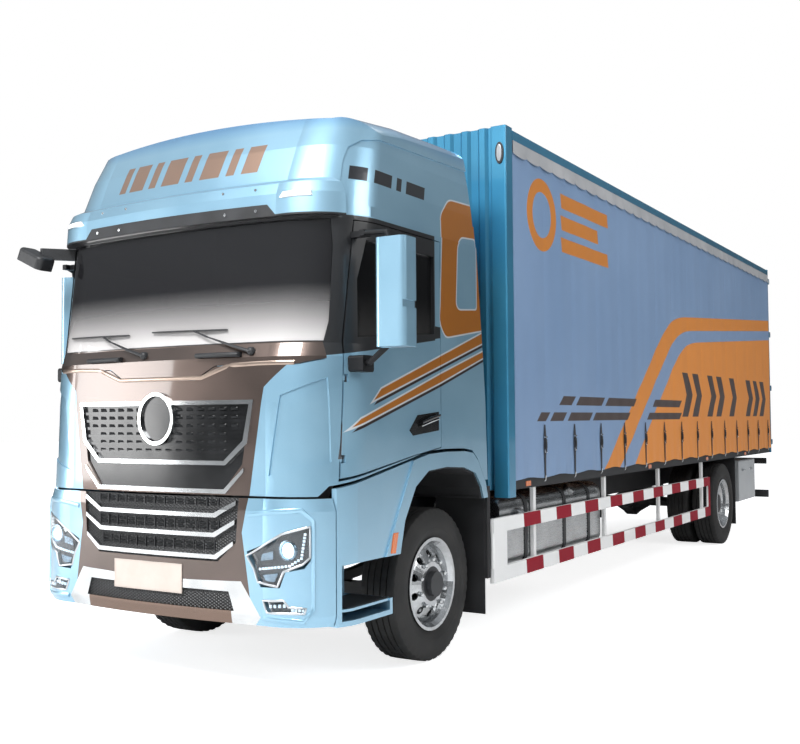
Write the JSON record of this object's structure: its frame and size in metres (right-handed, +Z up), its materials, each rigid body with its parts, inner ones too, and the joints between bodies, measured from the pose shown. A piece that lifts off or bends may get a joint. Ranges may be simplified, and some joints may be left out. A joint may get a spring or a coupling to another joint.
{
  "type": "curtain-sided rigid truck",
  "caption": "High-roof cab-over rigid truck with a curtain-sided load body; the cab tilts, its doors and the rear doors swing, the front wheels steer and all wheels roll.",
  "frame": {"origin": "bottom centre of the bounding box, on the ground under the middle of the truck", "axes": "+X is the truck's left (driver's side), -Y is forward, +Z is up"},
  "size_m": [3.1383, 11.9998, 3.92],
  "materials": {
    "cab_paint": "light ice-blue metallic gloss paint",
    "bronze_paint": "champagne-brown metallic paint",
    "body_paint": "teal-blue gloss paint",
    "frame_paint": "black chassis paint",
    "grey_paint": "grey paint",
    "guard_paint": "white paint with crimson stripes",
    "engine_iron": "painted cast iron",
    "polished_aluminium": "polished aluminium",
    "wheel_steel": "polished steel",
    "tyre": "black tyre rubber",
    "black_plastic": "grained black plastic",
    "mirror_plastic": "light-blue painted plastic",
    "lamp_lens": "clear lamp lens",
    "lamp_red": "red lamp lens",
    "chrome": "chrome plate",
    "tinted_glass": "tinted glass",
    "curtain_cloth": "grey-blue coated tarpaulin with bands",
    "seat_cloth": "grey seat cloth",
    "deck_wood": "plywood deck on steel bearers"
  },
  "bodies": {
    "chassis": {"frame_rails": "frame_paint", "front_axle": "frame_paint", "rear_axle": "frame_paint", "leaf_springs": "frame_paint", "drive_line": "frame_paint", "underrun_bar": "frame_paint", "tank_brackets": "frame_paint", "cross_members": "frame_paint", "engine": "engine_iron", "bumper_centre": "bronze_paint", "bumper_corners": "cab_paint", "side_steps": "cab_paint", "wheel_arches": "cab_paint", "headlamps": "lamp_lens", "bumper_trim": "chrome", "mudguards": "black_plastic", "battery_box": "black_plastic", "lower_grille": "black_plastic", "fuel_tank": "polished_aluminium", "air_tanks": "grey_paint", "toolbox": "grey_paint", "side_guards": "guard_paint", "tail_lamps": "lamp_red", "deck": "deck_wood", "front_wall": "body_paint", "rear_posts": "body_paint", "body_roof": "body_paint", "curtain_left": "curtain_cloth", "curtain_right": "curtain_cloth", "valances": "curtain_cloth"},
    "cab": {"cab_shell": "cab_paint", "cab_corner_panels": "cab_paint", "roof_fairing": "cab_paint", "front_panel": "bronze_paint", "grille_trim": "chrome", "upper_grille": "black_plastic", "sun_visor": "black_plastic", "dashboard": "black_plastic", "steering_wheel": "black_plastic", "kerb_mirror": "black_plastic", "windscreen": "tinted_glass", "seats": "seat_cloth"},
    "door_left": {"door_left": "cab_paint", "door_glass_left": "tinted_glass", "mirror_left": "mirror_plastic"},
    "rear_door_left": {"rear_door_left": "body_paint"},
    "knuckle_left": {"knuckle_left": "frame_paint"},
    "front_wheel_left": {"tyre_front_left": "tyre", "rim_front_left": "wheel_steel"},
    "rear_wheel_left": {"tyres_rear_left": "tyre", "rims_rear_left": "wheel_steel"},
    "door_right": {"door_right": "cab_paint", "door_glass_right": "tinted_glass", "mirror_right": "mirror_plastic"},
    "rear_door_right": {"rear_door_right": "body_paint"},
    "knuckle_right": {"knuckle_right": "frame_paint"},
    "front_wheel_right": {"tyre_front_right": "tyre", "rim_front_right": "wheel_steel"},
    "rear_wheel_right": {"tyres_rear_right": "tyre", "rims_rear_right": "wheel_steel"}
  },
  "joints": [
    {"name": "cab_tilt", "type": "hinge", "parent": "chassis", "child": "cab", "pos_m": [0, -5.87, 1.25], "axis": [1, 0, 0], "range_deg": [0, 50]},
    {"name": "door_left_swing", "type": "hinge", "parent": "cab", "child": "door_left", "pos_m": [1.188, -5.633, 2], "axis": [0, -0.0688, -0.9976], "range_deg": [0, 70]},
    {"name": "door_right_swing", "type": "hinge", "parent": "cab", "child": "door_right", "pos_m": [-1.188, -5.633, 2], "axis": [0, 0.0688, 0.9976], "range_deg": [0, 70]},
    {"name": "rear_door_left_swing", "type": "hinge", "parent": "chassis", "child": "rear_door_left", "pos_m": [1.261, 5.986, 2.5], "axis": [0, 0, -1], "range_deg": [0, 250]},
    {"name": "steer_left", "type": "hinge", "parent": "chassis", "child": "knuckle_left", "pos_m": [0.9, -4.47, 0.5204], "axis": [0, 0, 1], "range_deg": [-38, 38]},
    {"name": "front_wheel_left_spin", "type": "hinge", "parent": "knuckle_left", "child": "front_wheel_left", "pos_m": [1, -4.47, 0.5204], "axis": [1, 0, 0], "continuous": true},
    {"name": "rear_wheel_left_spin", "type": "hinge", "parent": "chassis", "child": "rear_wheel_left", "pos_m": [0.93, 3.08, 0.5204], "axis": [1, 0, 0], "continuous": true},
    {"name": "rear_door_right_swing", "type": "hinge", "parent": "chassis", "child": "rear_door_right", "pos_m": [-1.261, 5.986, 2.5], "axis": [0, 0, 1], "range_deg": [0, 250]},
    {"name": "steer_right", "type": "hinge", "parent": "chassis", "child": "knuckle_right", "pos_m": [-0.9, -4.47, 0.5204], "axis": [0, 0, 1], "range_deg": [-38, 38]},
    {"name": "front_wheel_right_spin", "type": "hinge", "parent": "knuckle_right", "child": "front_wheel_right", "pos_m": [-1, -4.47, 0.5204], "axis": [1, 0, 0], "continuous": true},
    {"name": "rear_wheel_right_spin", "type": "hinge", "parent": "chassis", "child": "rear_wheel_right", "pos_m": [-0.93, 3.08, 0.5204], "axis": [1, 0, 0], "continuous": true}
  ],
  "couplings": [
    {"joint": "steer_right", "follows": "steer_left", "ratio": 1}
  ]
}
